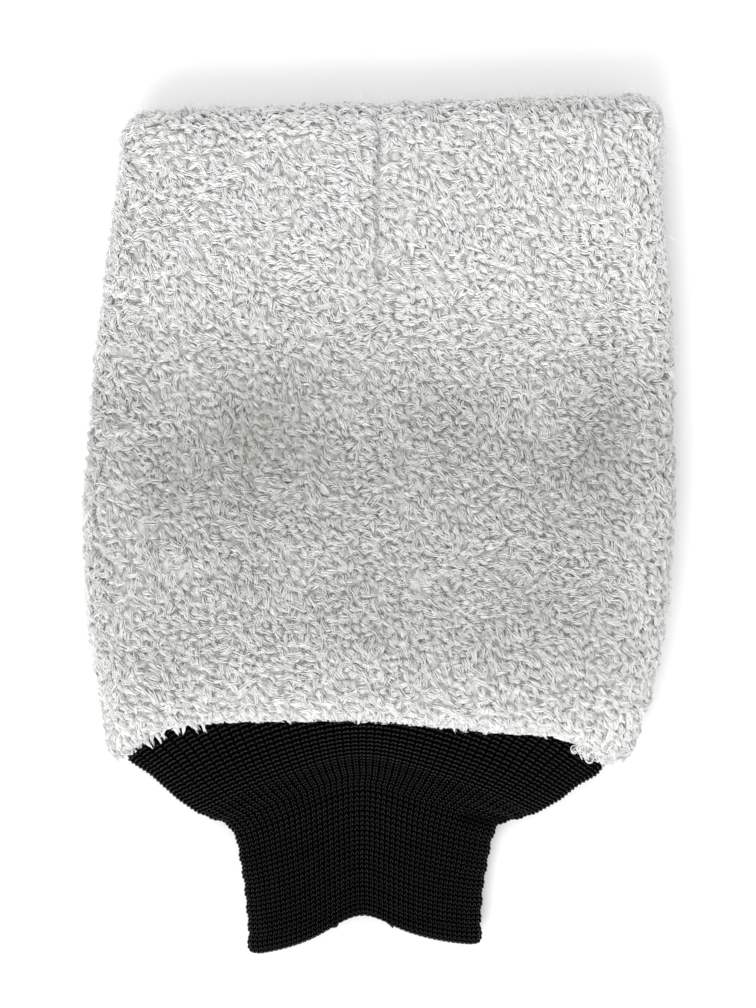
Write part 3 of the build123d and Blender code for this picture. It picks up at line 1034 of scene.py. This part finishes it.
def curls(name, centres, count, seed, steps=16):
    """Small tight curls: strands that wind once or twice round, lying on the knit."""
    rng = np.random.default_rng(seed)
    centre = near(centres, count, np.array([1.1, 1.1, 0.5]) * MM, rng)
    axis = unit(rng.normal(0, 1, (count, 3)) * np.array([1, 1, 0.5]) + np.array([0, 0, 0.9]))
    a = unit(np.cross(axis, rng.normal(0, 1, (count, 3))))
    b = np.cross(axis, a)
    t = np.linspace(0, 1, steps)[None, :, None]
    each = (count, 1, 1)
    angle = rng.uniform(1.0, 2.0, each) * 2 * math.pi * t
    size = rng.uniform(0.7, 1.6, each) * MM * (1 - 0.35 * t)
    rise = rng.uniform(0.3, 1.4, each) * MM
    wound = size * (np.cos(angle) * a[:, None] + np.sin(angle) * b[:, None])
    paths = centre[:, None] + wound + axis[:, None] * rise * t
    paths[..., 2] = np.maximum(paths[..., 2], 0.4 * MM)
    taper = np.interp(np.linspace(0, 1, steps), [0, 0.8, 1], [1, 0.9, 0.5])
    thick = np.full((count, steps), 0.2 * MM) * taper
    shade = rng.uniform(0.6, 0.95, count)[:, None] * np.ones(steps)
    strand_piece(name, paths, thick, axis, shade)


def corner_strands():
    """The loose pile at the two lower corners."""
    rng = np.random.default_rng(SEED + 5)
    # The left tufts hang in short points over the knit's shoulder.
    t = np.linspace(0, 1, 11)
    x = (-78 + 19 * t) * MM
    seam = seam_at(x)
    spots = np.column_stack([x, seam + 1.2 * MM, (19.8 + 2.0 * t) * MM])
    spots = spots + rng.normal(0, 0.4 * MM, (len(t), 3))
    which = rng.integers(0, len(t), 420)
    lean = np.array([0.3, -0.8, 0.0]) + rng.normal(0, 0.3, (len(t), 3)) * np.array([1, 0.4, 0.3])
    roots = spots[which] + rng.normal(0, 0.42 * MM, (len(which), 3))
    lean = lean[which] + (spots[which] - roots) / (3.5 * MM)
    curl = radius = 0.15 * MM
    loose_strands(
        "left_corner_tufts", roots, lean, 3.4 * MM, 0.9 * MM, curl, radius, SEED + 6, stray=0.04
    )
    # The right corner ends in two knots of tight curls that lie on the knit.
    spots = np.array(
        [(66, -70.5, 21.5), (67.5, -73, 21.3), (69, -75.5, 20.6), (73.5, -75.5, 19.6), (75, -77.5, 18.5)]
    )
    curls("right_corner_curls", spots * MM, 150, SEED + 7)


def edge_hairs():
    """A few long hairs that stand out past the pile, mostly at the two finger-end corners."""
    rng = np.random.default_rng(SEED + 8)
    line = ground_outline(2.5 * MM)
    run = unit(np.roll(line, -1, axis=0) - np.roll(line, 1, axis=0))
    outward = np.stack([run[:, 1], -run[:, 0]], axis=1)
    weight = 0.15 + 1.0 * (line[:, 1] > 120 * MM) * (np.abs(line[:, 0]) > 45 * MM)
    weight = weight * (line[:, 1] > -60 * MM)
    picked = rng.choice(len(line), 260, p=weight / weight.sum())
    roots = np.column_stack([line[picked], rng.uniform(6, 20, len(picked)) * MM])
    out = outward[picked] + rng.normal(0, 0.5, (len(picked), 2))
    lean = np.column_stack([out, np.full(len(picked), 0.1)])
    loose_strands("edge_hairs", roots, lean, 5.0 * MM, 0.8 * MM, 0.8 * MM, 0.09 * MM, SEED + 9, steps=11)


corner_strands()
edge_hairs()


# ---- floor, light ----
def make_stage():
    """A pale floor and soft light, mostly from the cuff's side."""
    material, _, _, shader = new_material("floor", 0.9)
    shader.inputs["Base Color"].default_value = (0.93, 0.93, 0.93, 1)
    corners = np.array([(-3, -3, 0), (3, -3, 0), (3, 3, 0), (-3, 3, 0)], float)
    floor = mesh_piece("floor", corners, np.array([[0, 1, 2, 3]]), material=material)
    for name, at, power, size in (
        ("key", (-0.45, -1.35, 1.2), 24.0, 1.2),
        ("top", (-0.3, 0.5, 1.9), 6.0, 1.4),
    ):
        data = bpy.data.lights.new(name, "AREA")
        data.energy, data.size = power, size
        lamp = bpy.data.objects.new(name, data)
        lamp.location = at
        lamp.rotation_euler = (Vector((0, 0, 0)) - Vector(at)).to_track_quat("-Z", "Y").to_euler()
        bpy.context.scene.collection.objects.link(lamp)
    world = bpy.data.worlds.new("world")
    world.use_nodes = True
    world.node_tree.nodes["Background"].inputs[0].default_value = (1, 1, 1, 1)
    world.node_tree.nodes["Background"].inputs[1].default_value = 0.88
    bpy.context.scene.world = world


make_stage()
